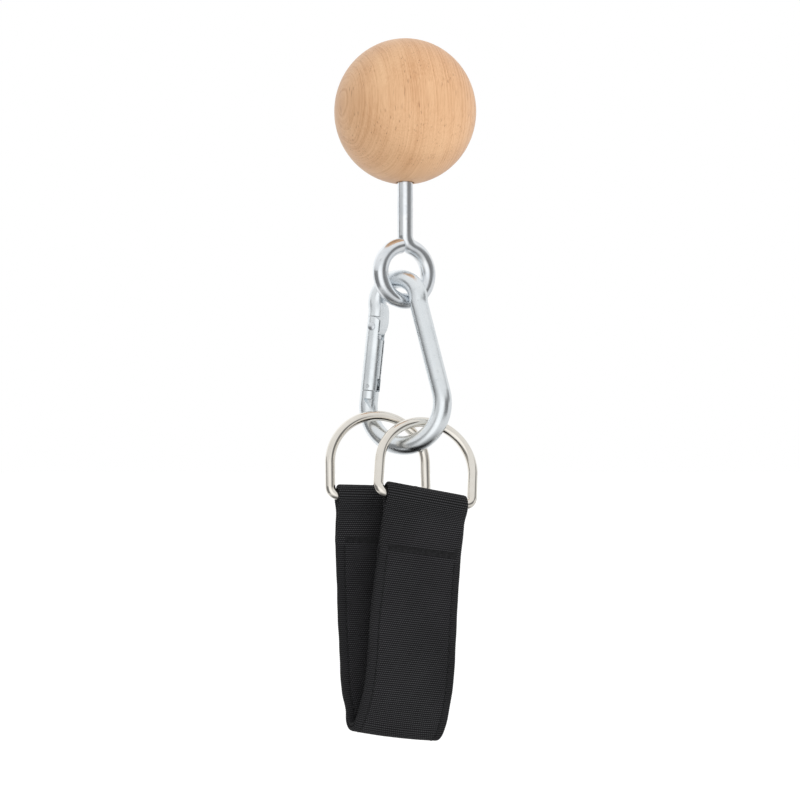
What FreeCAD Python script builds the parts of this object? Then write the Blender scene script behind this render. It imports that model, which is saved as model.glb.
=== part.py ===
import FreeCAD, Part
import math
import os
from FreeCAD import Vector as V

# Suspension ball grip: wooden ball on a bent eye bolt, steel snap hook with a
# sprung gate, and a webbing sling hung from two D rings.
# Millimetres, origin at the centre of the ball, +Z up, -Y is the front.
# Bent bars and the hook are drawn in their own XZ plane and then placed.

os.makedirs("parts", exist_ok=True)

X_AXIS, Y_AXIS, Z_AXIS = V(1, 0, 0), V(0, 1, 0), V(0, 0, 1)


# ---------------------------------------------------------------- helpers
def placed(position, roll, yaw, lean):
    """Placement turned about Y, then Z, then X, all fixed axes, in degrees."""
    turn = (FreeCAD.Rotation(X_AXIS, lean)
            * FreeCAD.Rotation(Z_AXIS, yaw)
            * FreeCAD.Rotation(Y_AXIS, roll))
    return FreeCAD.Placement(position, turn)


def save(shape, name, place=None):
    """Place the piece if asked, mend it if it is not valid, and write its STEP file."""
    if place:
        shape.Placement = place
    if not shape.isValid():
        shape.fix(1e-4, 1e-4, 1e-4)
    if len(shape.Solids) == 1:
        shape = shape.Solids[0]
    shape.exportStep("parts/%s.step" % name)


def largest_solid(shape):
    return max(shape.Solids, key=lambda solid: solid.Volume)


def xz(x, z):
    return V(x, 0, z)


def polar(centre, radius, angle):
    """Point of the XZ plane at an angle in degrees from +X towards +Z."""
    turn = math.radians(angle)
    return centre + xz(radius * math.cos(turn), radius * math.sin(turn))


def arc(centre, radius, start, end):
    """Arc in the XZ plane between two angles, either sense."""
    angles = (start, 0.5 * (start + end), end)
    return Part.Arc(*[polar(centre, radius, angle) for angle in angles]).toShape()


def arc_through(start, middle, end):
    return Part.Arc(start, middle, end).toShape()


def sweep(edges, radius):
    """Round bar along tangent-continuous edges lying in the XZ plane."""
    first = edges[0]
    start = first.valueAt(first.FirstParameter)
    tangent = first.tangentAt(first.FirstParameter)
    shell = Part.BRepOffsetAPI.MakePipeShell(Part.Wire(edges))
    shell.setFrenetMode(False)
    shell.setBiNormalMode(Y_AXIS)
    shell.add(Part.Wire([Part.makeCircle(radius, start, tangent)]))
    shell.build()
    shell.makeSolid()
    return shell.shape()


def closed_polygon(points):
    return Part.makePolygon(points + [points[0]])


def prism(points, y0, y1):
    """Polygon in the XZ plane, extruded along Y from y0 to y1."""
    outline = closed_polygon([V(point.x, y0, point.z) for point in points])
    return Part.Face(outline).extrude(V(0, y1 - y0, 0))


def upright(radius, z, height):
    """Cylinder on the Z axis, standing on z."""
    return Part.makeCylinder(radius, height, V(0, 0, z))


def upright_cone(bottom_radius, top_radius, z, height):
    return Part.makeCone(bottom_radius, top_radius, height, V(0, 0, z))


def crossways(radius, centre, half_length=10):
    """Cylinder along Y, centred on a point of the XZ plane."""
    return Part.makeCylinder(radius, 2 * half_length, V(centre.x, -half_length, centre.z), Y_AXIS)


# ---------------------------------------------------------------- ball, plug, washer and nut
BALL_R = 40.0
BORE_R = 5.15                    # close fit on the thread of the eye bolt
COUNTERBORE_R = 11.0             # room for washer and nut
COUNTERBORE_Z = 18.0             # its floor
PLUG_RECESS_R = 12.0
PLUG_Z = 33.5                    # ledge under the plug
PLUG_PLAY = 0.03

WASHER_R, WASHER_HOLE_R, WASHER_T = 10.0, 5.25, 2.0

THREAD_R = 5.0                   # M10, plain stand-in
THREAD_Z0, THREAD_Z1 = -4.0, 32.0

NUT_Z = COUNTERBORE_Z + WASHER_T
NUT_FLATS = 17.0                 # across flats
NUT_HEX_H = 8.0
NUT_FACE_R = NUT_FLATS / 2 + 0.1             # chamfer circle on the end faces
NUT_CONE_R = NUT_FACE_R + NUT_HEX_H * 1.7    # wide end of the chamfering cones
COLLAR_R0, COLLAR_R1, COLLAR_H = 7.8, 7.2, 2.0
INSERT_R, INSERT_H = 6.3, 2.4
INSERT_Z = NUT_Z + 7.0


def wooden_ball():
    ball = Part.makeSphere(BALL_R)
    ball = ball.cut(upright(BORE_R, -50, 100))
    ball = ball.cut(upright(COUNTERBORE_R, COUNTERBORE_Z, 40))
    return ball.cut(upright(PLUG_RECESS_R, PLUG_Z, 40))


def top_plug():
    """Turned plug that closes the counterbore flush with the ball."""
    return upright(PLUG_RECESS_R - PLUG_PLAY, PLUG_Z, 20).common(Part.makeSphere(BALL_R))


def flat_washer():
    disc = upright(WASHER_R, COUNTERBORE_Z, WASHER_T)
    return disc.cut(upright(WASHER_HOLE_R, COUNTERBORE_Z - 1, 10))


def lock_nut():
    """Hexagon chamfered at both ends, with a collar that holds the nylon ring."""
    corners = [V(NUT_FLATS / math.sqrt(3) * math.cos(math.radians(60 * i)),
                 NUT_FLATS / math.sqrt(3) * math.sin(math.radians(60 * i)), NUT_Z)
               for i in range(6)]
    nut = Part.Face(closed_polygon(corners)).extrude(V(0, 0, NUT_HEX_H))
    nut = nut.common(upright_cone(NUT_FACE_R, NUT_CONE_R, NUT_Z, NUT_HEX_H))
    nut = nut.common(upright_cone(NUT_CONE_R, NUT_FACE_R, NUT_Z, NUT_HEX_H))
    nut = nut.fuse(upright_cone(COLLAR_R0, COLLAR_R1, NUT_Z + NUT_HEX_H, COLLAR_H))
    nut = nut.removeSplitter()
    nut = nut.cut(upright(THREAD_R + 0.02, NUT_Z - 2, 20))
    return nut.cut(upright(INSERT_R, INSERT_Z, INSERT_H))


def nut_insert():
    """Nylon ring inside the collar of the nut."""
    return upright(INSERT_R, INSERT_Z, INSERT_H).cut(upright(THREAD_R + 0.01, NUT_Z, 20))


save(wooden_ball(), "wooden_ball")
save(top_plug(), "top_plug")
save(flat_washer(), "flat_washer")
save(lock_nut(), "lock_nut")
save(nut_insert(), "nut_insert")

# ---------------------------------------------------------------- eye bolt
BOLT_WIRE_R = 4.4
EYE_R = 15.6                     # centre-line radius of the eye
EYE_OFFSET = -0.5                # eye centre, sideways from the shank in the plane of the eye
EYE_Z = -90.8                    # height of the eye centre
EYE_YAW = 30.97                  # plane of the eye about +Z, degrees
BOLT_BEND_R = 6.5                # bend between shank and eye
EYE_GAP = 0.35                   # between the end of the loop and the bend
THREAD_CHAMFER = 1.0
THREAD_RUNOUT = 0.8


def eye_bolt():
    """Shank, bend and an open eye whose end stops just short of the bend."""
    centres = EYE_R + BOLT_BEND_R
    side = BOLT_BEND_R - EYE_OFFSET
    bend_z = math.sqrt(centres ** 2 - side ** 2)
    meet = math.degrees(math.atan2(bend_z, side))    # where bend and eye touch
    shank_end = xz(0, bend_z)
    bend = xz(BOLT_BEND_R, bend_z)
    eye = xz(EYE_OFFSET, 0)

    clearance = sweep([Part.makeLine(xz(0, 60), shank_end),
                       arc(bend, BOLT_BEND_R, 180.0, 180.0 + meet - 8)],
                      BOLT_WIRE_R + EYE_GAP)
    tail = sweep([arc(eye, EYE_R, -180.0, -262.0)], BOLT_WIRE_R).cut(clearance)
    main = sweep([Part.makeLine(xz(0, THREAD_Z0 - EYE_Z), shank_end),
                  arc(bend, BOLT_BEND_R, 180.0, 180.0 + meet),
                  arc(eye, EYE_R, meet, -181.0)], BOLT_WIRE_R)
    bolt = main.fuse(largest_solid(tail)).removeSplitter()
    bolt.Placement = FreeCAD.Placement(V(0, 0, EYE_Z), FreeCAD.Rotation(Z_AXIS, EYE_YAW))

    chamfer_z = THREAD_Z1 - THREAD_CHAMFER
    thread = upright(THREAD_R, THREAD_Z0, chamfer_z - THREAD_Z0)
    thread = thread.fuse(upright_cone(THREAD_R, THREAD_R - THREAD_CHAMFER,
                                      chamfer_z, THREAD_CHAMFER))
    thread = thread.fuse(upright_cone(BOLT_WIRE_R, THREAD_R,
                                      THREAD_Z0 - THREAD_RUNOUT, THREAD_RUNOUT))
    return bolt.fuse(thread).removeSplitter()


save(eye_bolt(), "eye_bolt")

# ---------------------------------------------------------------- snap hook frame
# The large bend is centred on the hook's own origin, the small bend straight above it.
# The gate is on the -X arm.
HOOK_BAR_R = 5.2
SMALL_BEND_R = 12.85             # centre-line radius
AIM_R = 11.95                    # circle the straight arms aim at, gives the slight neck
LARGE_BEND_R = 22.77             # centre-line radius
BEND_SPACING = 58.74             # between bend centres
NECK_BEND_R = 15.0               # reverse bend joining each arm to the small bend
HOOK_PLACE = placed(V(-0.264, -10.505, -164.734), roll=-4.29, yaw=-25.78, lean=-6.89)

LARGE_CENTRE = xz(0, 0)
SMALL_CENTRE = xz(0, BEND_SPACING)
PLAIN_NORMAL = math.degrees(math.asin((LARGE_BEND_R - AIM_R) / BEND_SPACING))
GATE_NORMAL = 180.0 - PLAIN_NORMAL           # outward normals of the two arms, degrees
ARM_TOP = polar(SMALL_CENTRE, AIM_R, GATE_NORMAL)
ARM_FOOT = polar(LARGE_CENTRE, LARGE_BEND_R, GATE_NORMAL)
ARM_DOWN = (ARM_FOOT - ARM_TOP) * (1.0 / (ARM_FOOT - ARM_TOP).Length)
ARM_IN = xz(-ARM_DOWN.z, ARM_DOWN.x)         # towards the inside of the hook


def on_arm(down, inward):
    """Point of the gate arm: distance down from its top, and towards the inside."""
    return ARM_TOP + ARM_DOWN * down + ARM_IN * inward


def stadium(radius, in0, in1, down0, down1):
    """Bar along the gate arm, its round-ended section centred from in0 to in1."""
    outer, inner = on_arm(down0, in0), on_arm(down0, in1)
    side, nose = Y_AXIS * radius, ARM_IN * radius
    edges = [arc_through(outer + side, outer - nose, outer - side),
             Part.makeLine(outer - side, inner - side),
             arc_through(inner - side, inner + nose, inner + side),
             Part.makeLine(inner + side, outer + side)]
    return Part.Face(Part.Wire(edges)).extrude(ARM_DOWN * (down1 - down0))


def slab(down0, down1, in0, in1, half_y):
    """Block aligned with the gate arm."""
    corners = [(down0, in0), (down1, in0), (down1, in1), (down0, in1)]
    return prism([on_arm(*corner) for corner in corners], -half_y, half_y)


# distances down the gate arm
SHOULDER = 9.4                   # end of the full bar under the small bend
GATE_TOP = 9.7
RIVET_DOWN, RIVET_IN = 15.4, -0.4
CAM_END = 19.4                   # flat end of the tongue
STOP_TOP, STOP_FOOT = 34.0, 35.6     # solid wall inside the gate, below the spring
FORK_TOP = 44.5
GATE_TIP = 51.5
NOSE = 51.8                      # shoulder of the nose
RIVET = on_arm(RIVET_DOWN, RIVET_IN)
PIN = on_arm(49.3, 0.9)

GATE_R, GATE_BORE_R = 5.2, 3.9   # pressed gate tube, outside and inside
GATE_DEPTH = 0.4                 # its section is this much longer than a circle
GATE_TURN = 24.0                 # opening angle, degrees
RIVET_R, RIVET_HEAD_R = 1.95, 2.4
RIVET_DOME_R, RIVET_DOME_H = 4.2, 0.7
HOOK_RIVET_HOLE_R, GATE_RIVET_HOLE_R = 2.0, 1.97
CHEEK_R = 5.6                    # gate cheeks, about the rivet
PIN_R, PIN_HOLE_R, PIN_HALF = 0.98, 1.0, 4.8

# ---------------------------------------------------------------- hook body
TONGUE_HALF_T = 3.5
TONGUE_FILLET = 0.7
TONGUE_FILLET_REACH = 9.0        # corners this near the rivet are rounded
# (down, inward): down the outer side, across the cam end, up the inner side
TONGUE_OUTLINE = [
    (SHOULDER - 1.5, -3.2), (RIVET_DOWN - 3.4, -3.55), (RIVET_DOWN, -3.6),
    (RIVET_DOWN + 2.4, -3.1), (CAM_END, RIVET_IN - 2.4), (CAM_END, RIVET_IN + 3.2),
    (CAM_END - 1.4, 4.2), (RIVET_DOWN + 0.6, 5.2), (RIVET_DOWN - 2.4, 5.75),
    (SHOULDER - 0.6, 5.75), (SHOULDER - 4.4, 5.3), (SHOULDER - 7.5, 4.3),
    (SHOULDER - 8.0, 3.0)]

WEB_HALF_T = 1.7
# (down, inward): nose web with the notch that catches the latch pin
NOSE_OUTLINE = [
    (NOSE + 2.0, -3.2), (46.6, -3.2), (46.0, -2.4), (46.0, 2.0), (46.6, 2.9),
    (47.85, 2.9), (47.85, -0.3), (50.45, -0.3), (50.45, 3.2), (NOSE + 2.0, 3.2)]

# (down, inward): triangular pockets in both faces of the bar, below the gate tip
POCKET_OUTLINE = [(56.2, -0.9), (56.2, 3.7), (61.6, 3.5)]
POCKET_FLOOR_Y = 2.6

# centre-punch marks on the front of the bar: place, y of the bar surface there
PUNCH_MARKS = [
    (on_arm(4.6, -2.6), -4.75),
    (xz(12.4, BEND_SPACING - 3.6), -5.35),
    (xz(14.6, BEND_SPACING - 2.9), -4.95),
    (on_arm(3.8, 2.8), -4.55)]


def hook_bar():
    """Round bar from the shoulder over the small bend and round to the nose."""
    neck_run = math.sqrt((SMALL_BEND_R + NECK_BEND_R) ** 2 - (AIM_R + NECK_BEND_R) ** 2)
    neck_angle = math.degrees(math.atan2(neck_run, AIM_R + NECK_BEND_R))
    gate_neck = polar(SMALL_CENTRE, AIM_R + NECK_BEND_R, GATE_NORMAL) + ARM_DOWN * neck_run
    plain_neck = xz(-gate_neck.x, gate_neck.z)
    gate_start = on_arm(neck_run, 0.0)
    return sweep([
        Part.makeLine(on_arm(SHOULDER, 0.0), gate_start),
        arc(gate_neck, NECK_BEND_R, GATE_NORMAL - 180.0, GATE_NORMAL - 180.0 + neck_angle),
        arc(SMALL_CENTRE, SMALL_BEND_R, GATE_NORMAL + neck_angle, PLAIN_NORMAL - neck_angle),
        arc(plain_neck, NECK_BEND_R, 180.0 + PLAIN_NORMAL - neck_angle, 180.0 + PLAIN_NORMAL),
        Part.makeLine(xz(-gate_start.x, gate_start.z), xz(-ARM_FOOT.x, ARM_FOOT.z)),
        arc(LARGE_CENTRE, LARGE_BEND_R, PLAIN_NORMAL, GATE_NORMAL - 360.0),
        Part.makeLine(ARM_FOOT, on_arm(NOSE, 0.0)),
    ], HOOK_BAR_R)


def hinge_tongue():
    """Flat tongue, swollen on the inner side, with a cam end for the plunger."""
    tongue = prism([on_arm(*point) for point in TONGUE_OUTLINE], -TONGUE_HALF_T, TONGUE_HALF_T)

    def is_near_corner(edge):
        first, last = edge.Vertexes[0], edge.Vertexes[-1]
        reach = (xz(first.X, first.Z) - on_arm(RIVET_DOWN, 0)).Length
        return abs(first.Y - last.Y) > 1.0 and reach < TONGUE_FILLET_REACH

    tongue = tongue.makeFillet(TONGUE_FILLET, [e for e in tongue.Edges if is_near_corner(e)])
    # relieved so that the tube turns round it from shut to open
    for turn in (0.0, 0.25, 0.5, 0.75, 1.0):
        room = stadium(GATE_BORE_R - 0.12, 0.0, 30.0, SHOULDER - 12, CAM_END + 9)
        room.rotate(RIVET, Y_AXIS, -GATE_TURN * turn)
        tongue = tongue.common(room)
    return tongue


def hook_body():
    hook = hook_bar().fuse(hinge_tongue())
    hook = hook.cut(crossways(HOOK_RIVET_HOLE_R, RIVET))
    nose = [on_arm(*point) for point in NOSE_OUTLINE]
    hook = hook.fuse(prism(nose, -WEB_HALF_T, WEB_HALF_T))
    pocket = [on_arm(*point) for point in POCKET_OUTLINE]
    for y0, y1 in ((-9, -POCKET_FLOOR_Y), (POCKET_FLOOR_Y, 9)):
        hook = hook.cut(prism(pocket, y0, y1))
    for mark, surface_y in PUNCH_MARKS:
        base = V(mark.x, surface_y - 0.9, mark.z)
        hook = hook.cut(Part.makeCone(1.4, 0.15, 1.1, base, Y_AXIS))
    return largest_solid(hook.removeSplitter())


save(hook_body(), "hook_body", HOOK_PLACE)


# ---------------------------------------------------------------- gate, rivet and latch pin
def gate_sleeve():
    """Pressed tube, open on the inner side round the tongue, forked at the tip."""
    gate = stadium(GATE_R, 0.0, GATE_DEPTH, GATE_TOP, GATE_TIP)
    for down0, down1 in ((GATE_TOP - 1, STOP_TOP), (STOP_FOOT, GATE_TIP + 1)):
        gate = gate.cut(stadium(GATE_BORE_R, 0.0, GATE_DEPTH, down0, down1))
    gate = gate.cut(slab(GATE_TOP - 1, 22.5, 0.0, 9.0, GATE_BORE_R))    # opening for the tongue
    gate = gate.cut(slab(22.0, FORK_TOP, 3.0, 9.0, 0.6))                # slit on the inner side
    gate = gate.cut(slab(FORK_TOP, GATE_TIP + 1, -9.0, 9.0, 2.0))       # fork
    # cheeks rounded about the rivet so they clear the shoulder
    corner = slab(GATE_TOP - 1, RIVET_DOWN, RIVET_IN, 9.0, 9)
    gate = gate.cut(corner.cut(crossways(CHEEK_R, RIVET)))
    gate = gate.cut(crossways(GATE_RIVET_HOLE_R, RIVET))
    gate = gate.cut(crossways(PIN_HOLE_R, PIN))
    return largest_solid(gate)


def hinge_rivet():
    """Rivet across the gate, with low domed heads standing on its cheeks."""
    rivet = crossways(RIVET_R, RIVET, GATE_R)
    head_h = 3                   # blank for a head, deeper than the dome
    dome_y = GATE_R + RIVET_DOME_H - RIVET_DOME_R
    for side, blank_y in ((-1, -GATE_R - head_h), (1, GATE_R)):
        dome = Part.makeSphere(RIVET_DOME_R, V(RIVET.x, side * dome_y, RIVET.z))
        blank = Part.makeCylinder(RIVET_HEAD_R, head_h, V(RIVET.x, blank_y, RIVET.z), Y_AXIS)
        rivet = rivet.fuse(dome.common(blank))
    return rivet.removeSplitter()


save(gate_sleeve(), "gate_sleeve", HOOK_PLACE)
save(hinge_rivet(), "hinge_rivet", HOOK_PLACE)
save(crossways(PIN_R, PIN, PIN_HALF), "latch_pin", HOOK_PLACE)

# ---------------------------------------------------------------- plunger and return spring
PLUNGER_IN = 0.2                 # axis of plunger and spring, towards the inside
PLUNGER_HEAD_R, PLUNGER_STEM_R = 3.3, 1.7
PLUNGER_HEAD_END, PLUNGER_STEM_END = 22.0, 28.0
CONTACT_GAP = 0.08               # between cam, plunger, spring and stop
SPRING_R, SPRING_WIRE_R, SPRING_TURNS = 2.75, 0.4, 7


def rod(radius, down0, down1):
    return Part.makeCylinder(radius, down1 - down0, on_arm(down0, PLUNGER_IN), ARM_DOWN)


def gate_plunger():
    """Head bears on the cam end of the tongue, stem guides the spring."""
    head = rod(PLUNGER_HEAD_R, CAM_END + CONTACT_GAP, PLUNGER_HEAD_END)
    stem = rod(PLUNGER_STEM_R, PLUNGER_HEAD_END, PLUNGER_STEM_END)
    return head.fuse(stem).removeSplitter()


SPRING_TOP = PLUNGER_HEAD_END + CONTACT_GAP + SPRING_WIRE_R      # wire centre, first turn
SPRING_FOOT = STOP_TOP - CONTACT_GAP - SPRING_WIRE_R             # wire centre, last turn


def gate_spring():
    """Plain coil, drawn up the Z axis."""
    pitch = (SPRING_FOOT - SPRING_TOP) / SPRING_TURNS
    helix = Part.makeHelix(pitch, pitch * SPRING_TURNS, SPRING_R)
    first = helix.Edges[0]
    start = first.valueAt(first.FirstParameter)
    tangent = first.tangentAt(first.FirstParameter)
    profile = Part.Wire([Part.makeCircle(SPRING_WIRE_R, start, tangent)])
    return Part.Wire(helix.Edges).makePipeShell([profile], True, True)


SPRING_PLACE = FreeCAD.Placement(on_arm(SPRING_TOP, PLUNGER_IN),
                                 FreeCAD.Rotation(Z_AXIS, ARM_DOWN))
save(gate_plunger(), "gate_plunger", HOOK_PLACE)
save(gate_spring(), "gate_spring", HOOK_PLACE.multiply(SPRING_PLACE))

# ---------------------------------------------------------------- D rings
RING_WIRE_R = 2.7
RING_W = 53.67                   # centre-line width
RING_H = 43.97                   # bar centre-line to top of arc centre-line
RING_LEG = 17.30                 # height where the arc starts
RING_CORNER_R = 4.46
FRONT_RING = placed(V(10.71, -29.01, -215.27), roll=3.33, yaw=18.13, lean=-22.13)
BACK_RING = placed(V(-14.65, -18.43, -214.28), roll=-1.35, yaw=13.88, lean=-10.21)


def d_ring():
    """Flat bar at the bottom, centred on the origin, and a half ellipse on top."""
    side, corner = RING_W / 2, RING_CORNER_R
    arc_start = xz(side, RING_LEG)
    ellipse = Part.Ellipse(arc_start, xz(0, RING_H), xz(0, RING_LEG))
    half = sweep([Part.makeLine(xz(0, 0), xz(side - corner, 0)),
                  arc(xz(side - corner, corner), corner, -90.0, 0.0),
                  Part.makeLine(xz(side, corner), arc_start),
                  ellipse.toShape(0, math.pi / 2)], RING_WIRE_R)
    return half.fuse(half.mirror(V(0, 0, 0), X_AXIS)).removeSplitter()


save(d_ring(), "front_d_ring", FRONT_RING)
save(d_ring(), "back_d_ring", BACK_RING)

# ---------------------------------------------------------------- webbing sling
# Each half is one strip of webbing folded round a ring bar and sewn to itself, so it is
# two plies thick; the halves meet at the foot of the sling, where the strip turns back up.
WEB_HALF_PLY = 2.2               # half the thickness of the two plies
WEB_W = 50.0
WEB_TOP_W = 45.0                 # width where it is drawn in round a ring bar
LOOP_IN_R, LOOP_OUT_R = 3.5, 5.7     # loop round a ring bar
LOOP_L = 11.0                    # bar to the end of the loop
LOOP_EYE_L = 8.5                 # bar to the point of the opening

FOLD = V(-5.6, -16.0, -339.6)    # centre of the turn at the foot
FOLD_IN_R = 3.0
FOLD_OUT_R = FOLD_IN_R + 2 * WEB_HALF_PLY
FOLD_YAW, FOLD_ROLL = 15.5, 10.3
FOLD_SKEW = 0.288                # sideways drift of the strip per unit of depth
FOLD_GAP = 0.15                  # half the slit between the two halves

# down each leg: centre, yaw and roll of the width in degrees, half width
FRONT_STATIONS = [
    (V(7.95, -27.0, -246.0), 22.3, 9.9, 24.0),
    (V(4.64, -24.8, -283.0), 19.8, 10.1, 24.6),
    (V(2.98, -23.0, -310.0), 20.2, 10.2, 24.9),
    (V(0.62, -21.8, -327.0), 18.9, 10.3, 25.0)]
BACK_STATIONS = [
    (V(-14.25, -15.6, -246.0), 14.5, 3.5, 24.0),
    (V(-12.81, -14.0, -283.0), 15.0, 6.3, 24.6),
    (V(-11.41, -12.2, -310.0), 15.2, 8.6, 24.9),
    (V(-10.42, -11.4, -327.0), 15.4, 9.7, 25.0)]


def width_direction(yaw, roll):
    yaw, roll = math.radians(yaw), math.radians(roll)
    return V(math.cos(yaw) * math.cos(roll), math.sin(yaw) * math.cos(roll), -math.sin(roll))


def unit_across(vector, axis):
    """Unit vector along the part of a vector that is square to a unit axis."""
    return (vector - axis * vector.dot(axis)).normalize()


FOLD_WIDTH = width_direction(FOLD_YAW, FOLD_ROLL)
FOLD_DOWN = unit_across(V(0, 0, -1), FOLD_WIDTH)
FOLD_BACK = FOLD_WIDTH.cross(FOLD_DOWN)
FOLD_EDGE = FOLD_BACK - FOLD_WIDTH * FOLD_SKEW       # edges of the turn follow this line


def section(centre, width, half_width, normal):
    """Rectangular section of the webbing."""
    across, through = width * half_width, normal * WEB_HALF_PLY
    return closed_polygon([centre - across - through, centre + across - through,
                           centre + across + through, centre - across + through])


def bar_loop(bar, width, down, back, skew):
    """Loop round a ring bar: extruded along the bar, ends trimmed along the leg."""
    def at(n, d, w=-40.0):
        return bar + back * n + down * d + width * w

    def bend(radius, angle):
        """Arc over the bar, from front to back, and its two ends."""
        n, d = radius * math.sin(angle), radius * math.cos(angle)
        return arc_through(at(-n, d), at(0, -radius), at(n, d)), at(-n, d), at(n, d)

    outer, front, rear = bend(LOOP_OUT_R, math.acos((LOOP_OUT_R - WEB_HALF_PLY) / LOOP_L))
    rear_end, front_end = at(WEB_HALF_PLY, LOOP_L), at(-WEB_HALF_PLY, LOOP_L)
    outline = [outer, Part.makeLine(rear, rear_end),
               Part.makeLine(rear_end, front_end), Part.makeLine(front_end, front)]
    loop = Part.Face(Part.Wire(outline)).extrude(width * 80)

    inner, front, rear = bend(LOOP_IN_R, math.acos(LOOP_IN_R / LOOP_EYE_L))
    point = at(0, LOOP_EYE_L)
    outline = [inner, Part.makeLine(rear, point), Part.makeLine(point, front)]
    loop = loop.cut(Part.Face(Part.Wire(outline)).extrude(width * 80))

    trim = [at(-20, d, skew * d + side * WEB_TOP_W / 2)
            for d, side in ((-12, -1), (-12, 1), (LOOP_L, 1), (LOOP_L, -1))]
    return loop.common(Part.Face(closed_polygon(trim)).extrude(back * 40))


def flat_leg(top_section, top, stations, foot):
    """Loft from the end of the loop through the stations to the foot."""
    sections = [top_section]
    centres = [top] + [station[0] for station in stations] + [foot]
    for i, (centre, yaw, roll, half_width) in enumerate(stations):
        width = width_direction(yaw, roll)
        along = (centres[i + 2] - centres[i]).normalize()
        normal = width.cross(along).normalize()
        sections.append(section(centre, width, half_width, normal))
    sections.append(section(foot, FOLD_WIDTH, WEB_W / 2, FOLD_EDGE))
    return Part.makeLoft(sections, True, True)


def foot_turn(side):
    """Quarter turn at the foot; side is -1 for the front half, +1 for the back."""
    def at(n, d):
        return FOLD + FOLD_BACK * (side * n) + FOLD_DOWN * d - FOLD_WIDTH * WEB_W

    def slit_end(radius):
        return at(FOLD_GAP, math.sqrt(radius ** 2 - FOLD_GAP ** 2))

    def middle(radius):
        return at(radius * math.sqrt(0.5), radius * math.sqrt(0.5))

    inner, outer = FOLD_IN_R, FOLD_OUT_R
    outline = [Part.makeLine(at(inner, 0), at(outer, 0)),
               arc_through(at(outer, 0), middle(outer), slit_end(outer)),
               Part.makeLine(slit_end(outer), slit_end(inner)),
               arc_through(slit_end(inner), middle(inner), at(inner, 0))]
    foot = Part.Face(Part.Wire(outline)).extrude(FOLD_WIDTH * (2 * WEB_W))
    half = WEB_W / 2
    trim = [FOLD + FOLD_EDGE * n + FOLD_WIDTH * w - FOLD_DOWN * 20
            for n, w in ((-12, -half), (12, -half), (12, half), (-12, half))]
    return foot.common(Part.Face(closed_polygon(trim)).extrude(FOLD_DOWN * 40))


def half_sling(ring, side, shift, stations):
    """One half of the sling; shift is how far the loop sits along its ring bar."""
    width = ring.Rotation.multVec(X_AXIS)
    bar = ring.Base + width * shift
    drop = stations[0][0] - bar
    down = unit_across(drop, width)
    back = width.cross(down)
    skew = drop.dot(width) / drop.dot(down)      # the leg hangs a little askew of the bar
    top = bar + down * LOOP_L + width * (skew * LOOP_L)
    foot = FOLD + FOLD_EDGE * (side * (FOLD_IN_R + WEB_HALF_PLY))

    loop = bar_loop(bar, width, down, back, skew)
    leg = flat_leg(section(top, width, WEB_TOP_W / 2, back), top, stations, foot)
    return loop.fuse(leg).fuse(foot_turn(side)).removeSplitter()


save(half_sling(FRONT_RING, -1, 0.5, FRONT_STATIONS), "strap_front")
save(half_sling(BACK_RING, 1, 0.0, BACK_STATIONS), "strap_back")
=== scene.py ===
"""A wooden ball with its eye bolt and snap hook, and a black webbing sling on two D-rings.

The ball and metal pieces come from the CAD frame; here they get their materials. The sling hangs
below as two legs of sewn webbing that meet in a turned foot. +Z is up, +X is right, and the camera
looks along +Y, so "front" is -Y and "back" is +Y. The sling is worked out in millimetres.
"""
import bpy
import math
import numpy as np
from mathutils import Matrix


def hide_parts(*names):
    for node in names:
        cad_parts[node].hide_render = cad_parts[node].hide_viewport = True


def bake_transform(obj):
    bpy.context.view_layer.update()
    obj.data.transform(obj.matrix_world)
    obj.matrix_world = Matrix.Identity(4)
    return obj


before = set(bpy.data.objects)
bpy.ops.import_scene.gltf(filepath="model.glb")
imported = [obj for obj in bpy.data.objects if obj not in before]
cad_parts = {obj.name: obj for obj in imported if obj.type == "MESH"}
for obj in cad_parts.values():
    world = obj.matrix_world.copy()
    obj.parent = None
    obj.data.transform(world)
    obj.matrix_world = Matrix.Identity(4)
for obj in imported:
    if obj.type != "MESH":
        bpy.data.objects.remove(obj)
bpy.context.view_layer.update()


MM = 0.001


# ------------------------------------------------------------------ vectors and curves
def vec(*parts):
    return np.array(parts, float)


def unit(vector):
    return vector / np.linalg.norm(vector)


def facing_back(vector):
    return -vector if vector[1] < 0 else vector


def width_direction(yaw, roll):
    """+X rolled about Y, then turned about Z."""
    yaw, roll = math.radians(yaw), math.radians(roll)
    return vec(math.cos(yaw) * math.cos(roll), math.sin(yaw) * math.cos(roll), -math.sin(roll))


def leaned(vector, degrees):
    """The vector turned about X."""
    cos, sin = math.cos(math.radians(degrees)), math.sin(math.radians(degrees))
    return np.array([[1, 0, 0], [0, cos, -sin], [0, sin, cos]]) @ vector


def smooth(t):
    t = min(1.0, max(0.0, t))
    return t * t * (3 - 2 * t)


def hermite(start, start_pull, end, end_pull, t):
    return ((2 * t**3 - 3 * t**2 + 1) * start + (t**3 - 2 * t**2 + t) * start_pull
            + (-2 * t**3 + 3 * t**2) * end + (t**3 - t**2) * end_pull)


def hermite_slope(start, start_pull, end, end_pull, t):
    return ((6 * t**2 - 6 * t) * start + (3 * t**2 - 4 * t + 1) * start_pull
            + (-6 * t**2 + 6 * t) * end + (3 * t**2 - 2 * t) * end_pull)


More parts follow.
